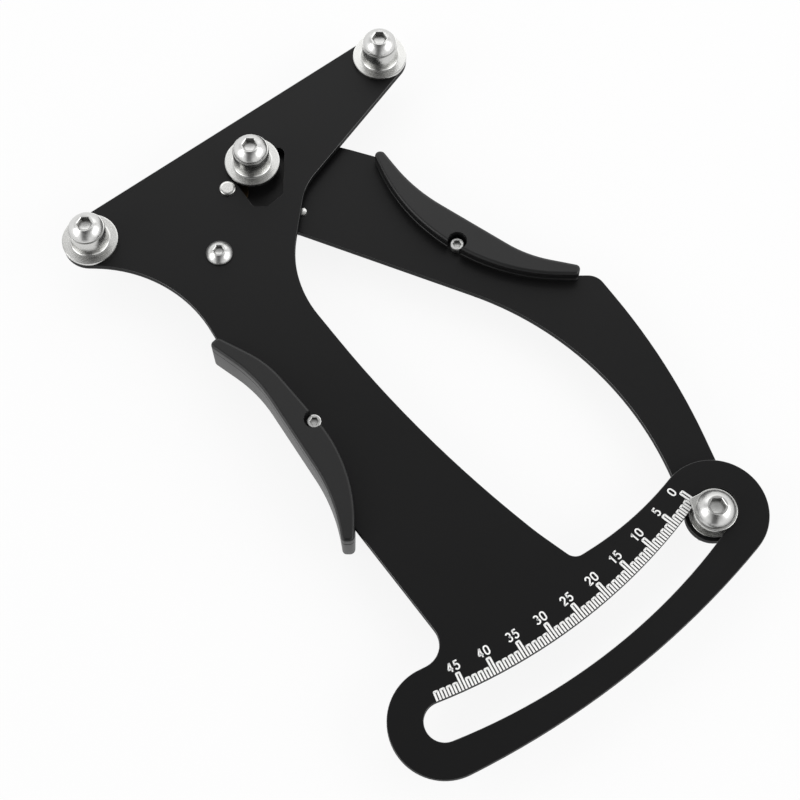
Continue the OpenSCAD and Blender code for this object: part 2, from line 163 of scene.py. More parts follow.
def mouldedFinish(name, plastic):
    # moulded plastic with a fine spark-eroded grain
    material, flow, shader = newFinish(name, {"Specular IOR Level": plastic["gloss"]})
    place = flow.node("ShaderNodeTexCoord", out="Object")
    grain = noise(flow, place, plastic["grain"], 3.0, 0.65)
    pits = flow.node("ShaderNodeTexVoronoi", {"feature": "F1"}, {"Vector": place, "Scale": plastic["pits"]})
    cloud = noise(flow, place, plastic["cloud"], 2.0)
    feed(flow, shader, {
        "Base Color": shade(flow, grain * 0.6 + cloud * 0.4, plastic["dark"], plastic["light"]),
        "Roughness": grain * plastic["grainRough"] + plastic["rough"],
        "Normal": relief(flow, grain * 0.6 + pits * 0.4, plastic["relief"], plastic["depth"])})
    return material


# the turned metals: rings a metre, marks a metre, and how both roughen the surface
turnedSteel = {"dark": (0.52, 0.52, 0.505), "light": (0.72, 0.72, 0.705), "rings": 6000, "marks": 420,
               "rough": 0.16, "marksRough": 0.10, "relief": 0.55}
brightSteel = {"dark": (0.52, 0.52, 0.51), "light": (0.74, 0.74, 0.73), "rings": 5000, "marks": 700,
               "rough": 0.19, "marksRough": 0.10, "relief": 0.35}
zincSteel = {"dark": (0.42, 0.43, 0.45), "light": (0.66, 0.67, 0.68), "rings": 1500, "marks": 500,
             "rough": 0.24, "marksRough": 0.20, "relief": 0.10}
wireSteel = {"dark": (0.26, 0.26, 0.27), "light": (0.50, 0.50, 0.51), "rings": 900, "marks": 1300,
             "rough": 0.22, "marksRough": 0.16, "relief": 0.15}
bronzeMetal = {"dark": (0.012, 0.008, 0.005), "light": (0.045, 0.030, 0.015), "rings": 1800, "marks": 500,
               "rough": 0.34, "marksRough": 0.16, "relief": 0.12}
# the last colour here is painted shade, laid into the metal's colour down in the hexagon sockets
everyMetal = {"ringsRough": 0.10, "depth": 0.00003, "recess": (0.40, 0.40, 0.39)}


def metalFinish(name, metal):
    # fine rings about the part's own axis with handling marks across them, and painted shade in the colour
    # down in the sockets
    material, flow, shader = newFinish(name, {"Metallic": 1.0})
    place = flow.node("ShaderNodeAttribute", {"attribute_name": "fromAxis"}, out="Vector")
    recess = flow.node("ShaderNodeAttribute", {"attribute_name": "recess"}, out="Fac")
    radius = flow.vectors("LENGTH", flow.vectors("MULTIPLY", place, (1, 1, 0), "Vector"))
    height = flow.vectors("DOT_PRODUCT", place, (0, 0, 1))
    along = {"W": (radius + height) * metal["rings"], "Scale": 1.0, "Detail": 3.0, "Roughness": 0.6}
    rings = flow.node("ShaderNodeTexNoise", {"noise_dimensions": "1D"}, along)
    marks = noise(flow, place, metal["marks"], 3.0, 0.6)
    clean = shade(flow, rings * 0.6 + marks * 0.4, metal["dark"], metal["light"])
    feed(flow, shader, {
        "Base Color": shade(flow, recess, clean, everyMetal["recess"]),
        "Roughness": rings * everyMetal["ringsRough"] + (marks * metal["marksRough"] + metal["rough"]),
        "Normal": relief(flow, rings, metal["relief"], everyMetal["depth"])})
    return material


paint = {"dark": (0.80, 0.80, 0.79), "light": (0.94, 0.94, 0.93), "speck": 1800, "rough": 0.48,
         "speckRough": 0.15, "relief": 0.12, "depth": 0.00002}


def paintFinish(name, colour):
    # screen-printed white, a little thin in places
    material, flow, shader = newFinish(name)
    place = flow.node("ShaderNodeTexCoord", out="Object")
    speck = noise(flow, place, colour["speck"], 3.0, 0.6)
    thin = flow.node("ShaderNodeValToRGB", {"stops": [(0.25, 0.0), (0.5, 1.0)]}, {"Fac": speck})
    feed(flow, shader, {
        "Base Color": shade(flow, thin, colour["dark"], colour["light"]),
        "Roughness": speck * colour["speckRough"] + colour["rough"],
        "Normal": relief(flow, speck, colour["relief"], colour["depth"])})
    return material


finishes = {
    "plate": coatFinish("blackCoat", blackCoat),
    "edge": coatFinish("blackCoatPaintedEdgeHighlight", paintedEdgeHighlight),
    "wall": coatFinish("blackCoatWall", coatWall),
    "grip": mouldedFinish("mouldedPlastic", moulded),
    "turned": metalFinish("turnedSteel", turnedSteel),
    "bright": metalFinish("brightSteel", brightSteel),
    "zinc": metalFinish("zincSteel", zincSteel),
    "wire": metalFinish("springWire", wireSteel),
    "bronze": metalFinish("bronze", bronzeMetal),
    "paint": paintFinish("scaleWhite", paint),
}
print("finishes made:", len(finishes))


# shapes are drawn in millimetres and stored in metres
def shown(name, mesh):
    piece = bpy.data.objects.new(name, mesh)
    bpy.context.scene.collection.objects.link(piece)
    return piece


def plain(piece):
    # the evaluated object as a plain mesh, with its modifiers gone
    graph = bpy.context.evaluated_depsgraph_get()
    evaluated = piece.evaluated_get(graph)
    return bpy.data.meshes.new_from_object(evaluated, preserve_all_data_layers=True, depsgraph=graph)


doubleGap = 1e-6  # metres
levelLean, flatLean, edgeLean = 0.9995, 0.98, 0.2  # how far up or down a face looks


def cleaned(mesh, sharpAngle=32, outward=True):
    # doubles merged, normals outwards, flat faces kept flat and the rest smooth up to sharpAngle
    work = bmesh.new()
    work.from_mesh(mesh)
    bmesh.ops.remove_doubles(work, verts=work.verts, dist=doubleGap)
    bmesh.ops.dissolve_degenerate(work, edges=work.edges, dist=doubleGap / 10)
    if outward:
        bmesh.ops.recalc_face_normals(work, faces=work.faces)
    for face in work.faces:
        face.smooth = True
    for edge in work.edges:
        if len(edge.link_faces) == 2:
            one, two = edge.link_faces
            level = [abs(face.normal.z) > levelLean for face in (one, two)]
            edge.smooth = one.normal.angle(two.normal, 0) < math.radians(sharpAngle) and level[0] == level[1]
    work.to_mesh(mesh)
    work.free()
    mesh.update()
    return mesh


def unitAt(angle):
    return Vector((math.cos(math.radians(angle)), math.sin(math.radians(angle))))


def angleOf(way):
    return math.degrees(math.atan2(way.y, way.x))


def arcPoints(centre, radius, start, stop, chordGap=0.012):
    step = math.degrees(2 * math.acos(1 - min(0.2, chordGap / radius)))
    count = max(2, math.ceil(abs(stop - start) / step))
    return [centre + radius * unitAt(start + (stop - start) * i / count) for i in range(count + 1)]


def cornerPoints(before, at, after, radius):
    u, v = (before - at).normalized(), (after - at).normalized()
    half = math.acos(max(-1, min(1, u.dot(v)))) / 2
    middle = at + (u + v).normalized() * radius / math.sin(half)
    start = angleOf(at + u * radius / math.tan(half) - middle)
    turn = (angleOf(at + v * radius / math.tan(half) - middle) - start + 180) % 360 - 180
    return arcPoints(middle, radius, start, start + turn)


def chain(corners, start=None, stop=None):
    # [x, y, radius] corners rounded in turn, between two fixed ends or round in a loop
    at = [Vector(corner[:2]) for corner in corners]
    points = []
    for i, corner in enumerate(corners):
        before = at[i - 1] if i or start is None else start
        after = at[(i + 1) % len(at)] if i + 1 < len(at) or stop is None else stop
        points += cornerPoints(before, at[i], after, corner[2])
    return points


def slab(name, loops, low, high, edge, finish, rounds=3, sideFinishes=()):
    # an outline with holes, made solid from low to high, its edges rounded by edge: sideFinishes are
    # for the rounding and for the wall
    curve = bpy.data.curves.new(name, "CURVE")
    curve.dimensions = "2D"
    curve.fill_mode = "BOTH"
    curve.extrude = ((high - low) / 2 - edge) * mm
    curve.bevel_depth = edge * mm
    curve.bevel_resolution = rounds
    curve.offset = -edge * mm
    for loop in loops:
        kept = [p for i, p in enumerate(loop) if (p - loop[i - 1]).length > 0.01]
        spline = curve.splines.new("POLY")
        spline.points.add(len(kept) - 1)
        for point, place in zip(spline.points, kept):
            point.co = (place.x * mm, place.y * mm, 0, 1)
        spline.use_cyclic_u = True
    drawn = bpy.data.objects.new(name + "Drawn", curve)
    bpy.context.scene.collection.objects.link(drawn)
    mesh = plain(drawn)
    bpy.data.objects.remove(drawn)
    mesh.transform(Matrix.Translation((0, 0, (low + high) / 2 * mm)))
    mesh.materials.clear()
    mesh.materials.append(finish)
    cleaned(mesh)
    if sideFinishes:
        for side in sideFinishes:
            mesh.materials.append(side)
        for face in mesh.polygons:
            lean = abs(face.normal.z)
            face.material_index = 0 if lean > flatLean else 1 if lean > edgeLean else 2
    mesh.name = name
    return mesh


def turned(name, rings, finish, sides=96):
    # a shape of revolution about its own axis: rings of (radius, height), with flats as a third number
    # on a hexagon, and a fourth that says how much painted shade its colour takes
    work = bmesh.new()
    tag = work.verts.layers.float_vector.new("fromAxis")
    recess = work.verts.layers.float.new("recess")
    loops = []
    for ring in rings:
        if ring[0] == 0:
            loops.append([work.verts.new((0, 0, ring[1] * mm))])
            continue
        loop = []
        for i in range(sides):
            turn = 2 * math.pi * i / sides
            radius = ring[0]
            if len(ring) > 2:
                radius = min(radius, ring[2] / math.cos(turn % (math.pi / 3) - math.pi / 6))
            across, up = radius * mm * math.cos(turn), radius * mm * math.sin(turn)
            loop.append(work.verts.new((across, up, ring[1] * mm)))
        for vert in loop:
            vert[recess] = ring[3] if len(ring) > 3 else 0
        loops.append(loop)
    pairs = list(zip(loops, loops[1:]))
    if rings[0][0] and rings[-1][0]:
        pairs.append((loops[-1], loops[0]))
    for one, two in pairs:
        for i in range(sides):
            j = (i + 1) % sides
            face = [one[i % len(one)], one[j % len(one)], two[j % len(two)], two[i % len(two)]]
            work.faces.new([v for k, v in enumerate(face) if v not in face[:k]])
    for vert in work.verts:
        vert[tag] = vert.co
    mesh = bpy.data.meshes.new(name)
    work.to_mesh(mesh)
    work.free()
    mesh.materials.append(finish)
    return cleaned(mesh)


def put(mesh, x, y, z):
    mesh.transform(Matrix.Translation((x * mm, y * mm, z * mm)))
    return mesh


def cutBy(piece, *cutters):
    for cutter in cutters:
        modifier = piece.modifiers.new("cut", "BOOLEAN")
        modifier.operation = "DIFFERENCE"
        modifier.solver = "EXACT"
        modifier.object = cutter
    mesh = plain(piece)
    piece.modifiers.clear()
    piece.data = cleaned(mesh, outward=False)
    for cutter in cutters:
        bpy.data.objects.remove(cutter)


def settle(piece, body, slot, *stoodFor):
    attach(piece, body)
    if stoodFor:
        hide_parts(*stoodFor)
    return piece


# where things are, in millimetres, as in the CAD model
layout = {
    "leverLow": 7, "leverTop": 9, "bodyLow": 10, "bodyTop": 12, "lift": 0.5,
    "scaleRadius": 161.8, "slotWidth": 10.4, "restAngle": -36.0, "farAngle": -68.1, "slotStart": -35.4,
    "postMiddle": (2.52, 13.62), "postSpan": 100.3, "postTilt": 37.2, "postEdge": 7.7,
    "middleReach": 10.52, "middleAngle": 50.4, "anchor": (-1.4, -20.4), "peg": (21.1, -5.6), "pegRivet": 2.5,
    "bodyGripHole": (26.2, -71.2), "leverGripHole": (64.6, -16.6),
}
postWay = unitAt(layout["postTilt"])
leftPost = Vector(layout["postMiddle"]) - postWay * layout["postSpan"] / 2
rightPost = Vector(layout["postMiddle"]) + postWay * layout["postSpan"] / 2
middlePost = layout["middleReach"] * unitAt(layout["middleAngle"])
pointerAt = layout["scaleRadius"] * unitAt(layout["restAngle"])
farHead = layout["scaleRadius"] * unitAt(layout["farAngle"])
origin = Vector((0, 0))


def circle(centre, diameter):
    return arcPoints(Vector(centre), diameter / 2, 360, 0)[:-1]


# the two plates: corners are x, y and the radius that rounds them
plates = {
    "edge": 0.22, "headRadius": 14.4, "outerRadius": 240, "tipRadius": 7.2, "bossRadius": 9,
    "neckCorners": [(21.7, 1.2, 18), (18.2, -28.2, 33), (54.4, -75.3, 345), (84.66, -101, 60),
                    (94.1, -108.05, 3.3), (110.2, -97.8, 92.4)],
    "headStart": 140.9,
    "gripCorners": [(62.4, -132.9, 6.3), (36.9, -99.5, 16), (30.5, -86, 40), (17.8, -65.5, 30),
                    (8, -54.3, 16), (0.5, -49, 3), (-14, -24.8, 39)],
    "window": [(15.6, 13.6, 2), (15.6, -1.4, 1.2), (11.4, -5.4, 1.2), (7.4, -5.4, 1.4), (1.4, 3.4, 1.5),
               (1.4, 13.6, 2)],
    "leverOver": [(27, 17.1, 50), (42, 12.45, 1.6), (46.8, 3, 16), (57, -7.4, 40), (80, -21.6, 40),
                  (91, -25.2, 20), (103.6, -25, 5), (122.2, -51.1, 180)],
    "leverUnder": [(121.1, -84.5, 26), (105.8, -45.1, 90), (12.5, -9, 12)],
}


def bodyOutline():
    side = layout["postTilt"] + 90
    head, outer = plates["headRadius"], plates["outerRadius"]
    halfBand = (layout["restAngle"] - layout["farAngle"]) / 2
    reach = layout["scaleRadius"]
    back = math.sqrt((outer - head) ** 2 - (reach * math.sin(math.radians(halfBand))) ** 2)
    outerAt = -(back - reach * math.cos(math.radians(halfBand))) * unitAt(layout["restAngle"] - halfBand)
    edge = layout["postEdge"]
    start, stop = rightPost + edge * unitAt(-38), pointerAt + head * unitAt(plates["headStart"])
    return (arcPoints(leftPost, edge, 270, side) + arcPoints(rightPost, edge, side, -38)
            + chain(plates["neckCorners"], start, stop)
            + arcPoints(pointerAt, head, plates["headStart"], angleOf(pointerAt - outerAt))
            + arcPoints(outerAt, outer, angleOf(pointerAt - outerAt), angleOf(farHead - outerAt))
            + arcPoints(farHead, head, angleOf(farHead - outerAt), -245)
            + chain(plates["gripCorners"], farHead + head * unitAt(-245), leftPost + edge * unitAt(270)))


def slotOutline():
    reach, half = layout["scaleRadius"], layout["slotWidth"] / 2
    one, two = layout["slotStart"], layout["farAngle"]
    return (arcPoints(reach * unitAt(one), half, one + 180, one)
            + arcPoints(origin, reach + half, one, two)
            + arcPoints(reach * unitAt(two), half, two, two - 180)
            + arcPoints(origin, reach - half, two, one))


def leverOutline():
    boss, tip = plates["bossRadius"], plates["tipRadius"]
    return (arcPoints(origin, boss, 270, 140.4) + arcPoints(middlePost, boss, 140.4, 90)
            + chain(plates["leverOver"], middlePost + boss * unitAt(90), pointerAt + tip * unitAt(21))
            + arcPoints(pointerAt, tip, 21, -175)
            + chain(plates["leverUnder"], pointerAt + tip * unitAt(-175), boss * unitAt(-90)))


bodyLoops = [bodyOutline(), slotOutline(), chain(plates["window"]), circle(leftPost, 5), circle(rightPost, 5),
             circle(layout["anchor"], 4), circle(layout["bodyGripHole"], 2.5), circle(origin, 4.6)]
leverLoops = [leverOutline(), circle(origin, 6.1), circle(middlePost, 6),
              circle(layout["peg"], layout["pegRivet"]), circle(layout["leverGripHole"], 2.5),
              circle(pointerAt, 6)]
bodyPlate = (bodyLoops, layout["bodyLow"], layout["bodyTop"])
leverPlate = (leverLoops, layout["leverLow"], layout["leverTop"])


def plateMesh(name, loops, low, high):
    # the rounding takes the edge finish, whose lighter colour is a painted highlight
    sides = (finishes["edge"], finishes["wall"])
    return slab(name, loops, low, high, plates["edge"], finishes["plate"], sideFinishes=sides)


settle(shown("bodyPlate", plateMesh("bodyPlate", *bodyPlate)), "body", "black_plate", "body_plate")
settle(shown("leverPlate", plateMesh("leverPlate", *leverPlate)), "lever", "black_plate", "lever_plate")
print("plates made")


# the grips: how far they stand over their plate, their screw's pocket and nut's pocket, and the mould seam
grips = {
    "height": 12.4, "proud": 4.2, "edge": 0.8, "seamDrop": 3.1, "seamWidth": 0.45, "seamDepth": 0.22,
    "holeWidth": 5.4, "holeDepth": 2, "nutWidth": 6.4, "nutDepth": 2.4,
    "body": [(-0.3, -47.6, 1.5), (13.5, -54.9, 30), (37.4, -83.6, 45), (37.4, -104.9, 1.4),
             (34.15, -104.9, 1.2), (32, -92.8, 50), (10.3, -59.35, 41), (-2.6, -50, 1.3)],
    "lever": [(40.7, 12.1, 1.4), (43.8, 12.1, 1.4), (52.6, 0, 50), (83.9, -20.75, 34),
              (98.7, -23.9, 1.3), (98.1, -26.9, 1.1), (57.5, -26.6, 55)],
}
gripScrew = {"thread": 2.5, "head": 3.9, "height": 2, "socket": 2, "length": 8}


def scored(mesh, height, width, depth):
    # a fine V cut all round the sides, where the halves of the mould meet
    work = bmesh.new()
    work.from_mesh(mesh)
    for level in (height - width / 2, height, height + width / 2):
        everything = work.verts[:] + work.edges[:] + work.faces[:]
        bmesh.ops.bisect_plane(work, geom=everything, plane_co=(0, 0, level * mm), plane_no=(0, 0, 1))
    work.normal_update()
    ring = [(vert, vert.normal.copy()) for vert in work.verts if abs(vert.co.z - height * mm) < doubleGap]
    for vert, way in ring:
        vert.co -= Vector((way.x, way.y, 0)).normalized() * depth * mm
    work.to_mesh(mesh)
    work.free()
    return cleaned(mesh)


def makeGrip(name, outline, hole, plateTop, plateLoops, body, node):
    top = plateTop + grips["proud"]
    low = top - grips["height"]
    block = slab(name, [chain(outline)], low, top, grips["edge"], finishes["grip"], rounds=5)
    piece = shown(name, scored(block, top - grips["seamDrop"], grips["seamWidth"], grips["seamDepth"]))
    wide, small, shaft = grips["holeWidth"] / 2, grips["nutWidth"] / 2, gripScrew["thread"] / 2
    seat, nutSeat = top - grips["holeDepth"] - gripScrew["height"], low + grips["nutDepth"]
    rings = [(0, top + 1), (wide, top + 1), (wide, seat), (shaft, seat), (shaft, nutSeat),
             (small, nutSeat), (small, low - 1), (0, low - 1)]
    bore = put(turned(name + "Bore", rings, finishes["grip"], 48), hole[0], hole[1], 0)
    cutBy(piece, shown(name + "Plate", plateMesh(name + "Cutter", *plateLoops)), shown(name + "Hole", bore))
    return settle(piece, body, "grip_plastic", node)


bodyTop, leverTop = layout["bodyTop"], layout["leverTop"]
bodyHole, leverHole = layout["bodyGripHole"], layout["leverGripHole"]
makeGrip("bodyGrip", grips["body"], bodyHole, bodyTop, bodyPlate, "body", "body_grip")
makeGrip("leverGrip", grips["lever"], leverHole, leverTop, leverPlate, "lever", "lever_grip")
print("grips made")


def nodeTree(name, inputs):
    tree = bpy.data.node_groups.new(name, "GeometryNodeTree")
    tree.is_modifier = True
    for label, kind in inputs:
        tree.interface.new_socket(name=label, in_out="INPUT", socket_type=kind)
    tree.interface.new_socket(name="Geometry", in_out="OUTPUT", socket_type="NodeSocketGeometry")
    flow = Flow(tree)
    entry = tree.nodes.new("NodeGroupInput")
    return flow, {label: Flow(tree, entry.outputs[label]) for label, kind in inputs}


def closeTree(flow, geometry, finish):
    real = flow.node("GeometryNodeRealizeInstances", {}, {"Geometry": geometry})
    coated = flow.node("GeometryNodeSetMaterial", {}, {"Geometry": real, "Material": finish})
    flow.tree.links.new(coated.socket, flow.tree.nodes.new("NodeGroupOutput").inputs[0])
    return flow.tree


def grown(name, source, tree, values):
    # runs a node tree on a source mesh and gives back its result as a plain mesh
    holder = shown(name + "Source", source)
    modifier = holder.modifiers.new("grow", "NODES")
    modifier.node_group = tree
    for item in tree.interface.items_tree:
        if item.item_type == "SOCKET" and item.in_out == "INPUT" and item.name in values:
            modifier[item.identifier] = values[item.name]
    mesh = plain(holder)
    bpy.data.objects.remove(holder)
    mesh.name = name
    return mesh


def wireMesh(name, paths):
    # open lines through the given points, each a chain of edges
    points, edges = [], []
    for path in paths:
        edges += [(len(points) + i, len(points) + i + 1) for i in range(len(path) - 1)]
        points += [tuple(c * mm for c in (*place, 0)[:3]) for place in path]
    mesh = bpy.data.meshes.new(name)
    mesh.from_pydata(points, edges, [])
    return mesh


def setOutTree():
    flow, entry = nodeTree("setOut", [
        ("Places", "NodeSocketGeometry"), ("Part", "NodeSocketObject"), ("Finish", "NodeSocketMaterial")])
    part = flow.node("GeometryNodeObjectInfo", {}, {"Object": entry["Part"]}, out="Geometry")
    spread = flow.node("GeometryNodeInstanceOnPoints", {}, {"Points": entry["Places"], "Instance": part})
    return closeTree(flow, spread, entry["Finish"])


setOut = setOutTree()


def setParts(name, part, places, height, finish):
    master = shown(name + "Master", part)
    mesh = bpy.data.meshes.new(name + "Places")
    mesh.from_pydata([(p[0] * mm, p[1] * mm, height * mm) for p in places], [], [])
    made = grown(name, mesh, setOut, {"Part": master, "Finish": finish})
    bpy.data.objects.remove(master)
    return shown(name, cleaned(made))


# the turned parts and the screws, in millimetres
posts = {"flange": 7.8, "flangeThick": 1.2, "neck": 5.1, "hollow": 0.7, "height": 7.5, "bore": 2.5}
buttonHeads = {  # thread, head diameter, head height, socket across flats
    "m4": (4, 7.5, 2.2, 2.5), "m5": (5, 9.4, 2.75, 3.6), "m6": (6, 10.5, 3.3, 4),
}
nutSizes = {"m25": (2.5, 5, 2), "m4": (4, 7, 3.2), "m5": (5, 8, 4), "m6": (6, 10, 5)}
screwLengths = {"post": 15.1, "middle": 8.9, "spring": 11.4, "pointer": 12.3}
washerThick, pivotWasherGap, spacerLength = 1, 0.05, 6.4
threadFit, threadLead, headEdge, domeSteps = 0.02, 0.4, 0.12, 10


def postRings(lead, bore):
    # flange, hollow curve and neck, from a lead-in of rings below
    flange, thick, neck = posts["flange"], posts["flangeThick"], posts["neck"]
    hollow, height = posts["hollow"], posts["height"]
    rings = lead + [(flange - 0.3, 0), (flange - 0.09, 0.09), (flange, 0.3), (flange, thick - 0.28),
                    (flange - 0.06, thick - 0.08), (flange - 0.24, thick)]
    for angle in range(0, 91, 9):
        turn = math.radians(angle)
        rings.append((neck + hollow * (1 - math.sin(turn)), thick + hollow * (1 - math.cos(turn))))
    return rings + [(neck, height - 0.35), (neck - 0.1, height - 0.1), (neck - 0.35, height), (bore, height)]


def buttonRings(size, length, bevel=0.2):
    # shank, domed head and hexagon socket, the head's underside at height 0
    thread, head, height, socket = size
    shank = thread / 2 - threadFit
    rings = [(0, -length), (shank - threadLead, -length), (shank, -length + threadLead), (shank, 0),
             (head / 2 - headEdge, 0), (head / 2, headEdge)]
    mouth = (socket / 2 + bevel) / math.cos(math.pi / 6) + headEdge
    rim = 0.15 * height
    below = (mouth ** 2 + height ** 2 - (head / 2) ** 2 - rim ** 2) / (2 * (height - rim))
    dome = math.hypot(mouth, height - below)
    start, stop = math.asin(head / 2 / dome), math.asin(mouth / dome)
    turns = [start + (stop - start) * i / domeSteps for i in range(domeSteps + 1)]
    rings += [(dome * math.sin(turn), below + dome * math.cos(turn)) for turn in turns]
    floor = height * 0.4
    # the fourth numbers paint shade into the colour down in the socket
    return rings + [(head, height, socket / 2 + bevel), (head, height - bevel, socket / 2, 0.8),
                    (head, floor, socket / 2, 1), (socket * 0.3, floor - 0.05), (0, floor - 0.25)]


def capRings(size):
    # a small cylinder head with its hexagon socket
    shank, head, height = size["thread"] / 2 - threadFit, size["head"] / 2, size["height"]
    flats, length = size["socket"] / 2, size["length"]
    # the fourth numbers paint shade into the colour down in the socket
    return [(0, -length), (shank - 0.2, -length), (shank, -length + 0.2), (shank, 0), (head - 0.1, 0),
            (head, 0.1), (head, height - 0.25), (head - 0.08, height - 0.08), (head - 0.25, height),
            (head, height, flats + 0.1), (head, height - 0.1, flats, 0.8),
            (head, height * 0.45, flats, 1), (0, height * 0.45 - 0.1)]


def nutRings(size):
    # hexagon with its corners rounded off above and below
    thread, across, height = size
    flats, bore = across / 2, thread / 2
    rising = [(flats * (0.96 + 0.19 * k / 4), height * 0.14 * k / 4, flats) for k in range(5)]
    falling = [(radius, height - level, flat) for radius, level, flat in reversed(rising)]
    return [(bore + 0.3, 0)] + rising + falling + [(bore + 0.3, height), (bore, height - 0.3), (bore, 0.3)]


def washerRings(outer, inner, thick, edge=0.1):
    return [(inner, 0), (outer - edge, 0), (outer, edge), (outer, thick - edge), (outer - edge, thick),
            (inner, thick)]


slots = {"turned": "turned_steel", "bright": "bright_hardware", "zinc": "bright_hardware", "bronze": "bronze"}
turnedMade = []


def makeTurned(name, rings, place, height, finish, body, node, sides=96):
    mesh = put(turned(name, rings, finishes[finish], sides), place[0], place[1], height)
    turnedMade.append(settle(shown(name, mesh), body, slots[finish], node))


def makePair(name, rings, height, finish, nodes, sides=96):
    # the same part at both outer posts
    part = turned(name + "Part", rings, finishes[finish], sides)
    both = setParts(name, part, [leftPost, rightPost], height, finishes[finish])
    turnedMade.append(settle(both, "body", slots[finish], *nodes))


washerAt = layout["bodyLow"] - washerThick
postScrew = buttonRings(buttonHeads["m5"], screwLengths["post"])
makePair("spokePosts", postRings([(posts["bore"], 0)], posts["bore"]), bodyTop, "turned",
         ("left_post", "right_post"), 128)
makePair("postScrews", postScrew, bodyTop + posts["height"], "bright",
         ("left_post_screw", "right_post_screw"))
makePair("postWashers", washerRings(5, 2.5, washerThick), washerAt, "zinc", ("post_washers",))
makePair("postNuts", nutRings(nutSizes["m5"]), washerAt - nutSizes["m5"][2], "zinc", ("post_nuts",))

# the middle post goes down through the window: bush, shoulder and the rivet under the lever
middleFoot = bodyTop + layout["lift"]
middleLead = [(0, -6.1), (3.2, -6.1), (3.6, -5.5), (2.98, -5.5), (2.98, -3.5), (4.38, -3.5), (4.5, -3.4),
              (4.5, 0)]
middleRings = postRings(middleLead, posts["bore"]) + [(posts["bore"], -2.0), (0, -2.3)]
middleScrew = buttonRings(buttonHeads["m5"], screwLengths["middle"])
makeTurned("middlePost", middleRings, middlePost, middleFoot, "turned", "lever", "middle_post", 128)
makeTurned("middleScrew", middleScrew, middlePost, middleFoot + posts["height"], "bright", "lever",
           "middle_screw")

# the spring's screw in the neck, with the tube that holds the spring's fixed leg
springAt, spacerAt = layout["anchor"], layout["bodyLow"] - spacerLength
springNutAt = spacerAt - nutSizes["m4"][2]
springScrew = buttonRings(buttonHeads["m4"], screwLengths["spring"])
springSpacer = washerRings(3.2, 2, spacerLength)
makeTurned("springScrew", springScrew, springAt, bodyTop, "bright", "body", "spring_screw")
makeTurned("springSpacer", springSpacer, springAt, spacerAt, "turned", "body", "spring_spacer")
makeTurned("springNut", nutRings(nutSizes["m4"]), springAt, springNutAt, "zinc", "body", "spring_nut")

# the grips' screws and nuts
for body, hole, plateTop in (("body", bodyHole, bodyTop), ("lever", leverHole, leverTop)):
    screwAt = plateTop + grips["proud"] - grips["holeDepth"] - gripScrew["height"]
    nutAt = plateTop + grips["proud"] - grips["height"] + grips["nutDepth"] - nutSizes["m25"][2]
    makeTurned(body + "GripScrew", capRings(gripScrew), hole, screwAt, "bright", body, body + "_grip_screw")
    makeTurned(body + "GripNut", nutRings(nutSizes["m25"]), hole, nutAt, "zinc", body, body + "_grip_nut")

# the pivot: foot, spring barrel, the lever's journal and the end that is riveted in the body plate
pivotRings = [(0, 0), (5.2, 0), (5.5, 0.2), (5.5, 0.6), (5.3, 0.8), (4, 0.8), (4, 6.95), (3, 6.95), (3, 10),
              (2.28, 10), (2.28, 12.35), (2.2, 12.58), (1.98, 12.74), (1.6, 12.8), (0, 12.8)]
pivotWasher = washerRings(5.6, 3.02, 0.95)
makeTurned("pivotWasher", pivotWasher, origin, leverTop + pivotWasherGap, "bronze", "body", "pivot_washer")
makeTurned("pivotPin", pivotRings, origin, 0, "turned", "body", "pivot_pin")

# the spring's pin on the lever, and the bush, screw and nut of the pointer
pegRings = [(0, 0.9), (1.9, 0.9), (2.2, 1.2), (2.2, 7), (1.24, 7), (1.24, 9.2), (1.16, 9.4), (0.9, 9.52),
            (0, 9.56)]
bushRings = [(3, 0), (6.2, 0), (6.3, 0.1), (6.3, 0.75), (6.2, 0.85), (5, 0.85), (5, 3.4), (4.9, 3.5),
             (3, 3.5)]
pointer = {"radius": 5.8, "tip": 7.1, "tipHalf": 0.4, "tipTurn": 155, "tipSpread": 28, "tipHollow": 1.7,
           "low": 12.5, "high": 13.7, "edge": 0.15, "bore": 6}
pointerScrew = buttonRings(buttonHeads["m6"], screwLengths["pointer"])
pointerNutAt = layout["leverLow"] - nutSizes["m6"][2]
makeTurned("springPin", pegRings, layout["peg"], 0, "turned", "lever", "spring_pin")
makeTurned("pointerBush", bushRings, pointerAt, leverTop, "turned", "lever", "pointer_bush")
makeTurned("pointerScrew", pointerScrew, pointerAt, pointer["high"], "bright", "lever", "pointer_screw")
makeTurned("pointerNut", nutRings(nutSizes["m6"]), pointerAt, pointerNutAt, "zinc", "lever", "pointer_nut")
print("turned parts made:", len(turnedMade))


def pointerOutline():
    # the rim leaves the disc on both sides in a hollow curve that ends in a blunt tip
    radius, tip, spread = pointer["radius"], pointer["tip"], pointer["tipSpread"]
    points = []
    for step in range(0, 360, 2):
        away = min(step, 360 - step)
        reach = radius
        if away < spread:
            reach = radius + (tip - radius) * (1 - away / spread) ** pointer["tipHollow"]
        reach = min(reach, math.hypot(tip, pointer["tipHalf"]) if away else tip)
        points.append(pointerAt + reach * unitAt(pointer["tipTurn"] - step))
    return points


def markAxis(mesh, centre):
    # where each point is from the part's own axis, for the turned metal
    tag = mesh.attributes.get("fromAxis") or mesh.attributes.new("fromAxis", "FLOAT_VECTOR", "POINT")
    for vert, entry in zip(mesh.vertices, tag.data):
        entry.vector = vert.co - Vector(centre)
    return mesh


pointerLoops = [pointerOutline(), circle(pointerAt, pointer["bore"])]
pointerMesh = slab("pointer", pointerLoops, pointer["low"], pointer["high"], pointer["edge"],
                   finishes["turned"], rounds=2)
markAxis(pointerMesh, (pointerAt.x * mm, pointerAt.y * mm, pointer["low"] * mm))
settle(shown("pointerDisc", pointerMesh), "lever", "turned_steel", "pointer")
print("pointer made")


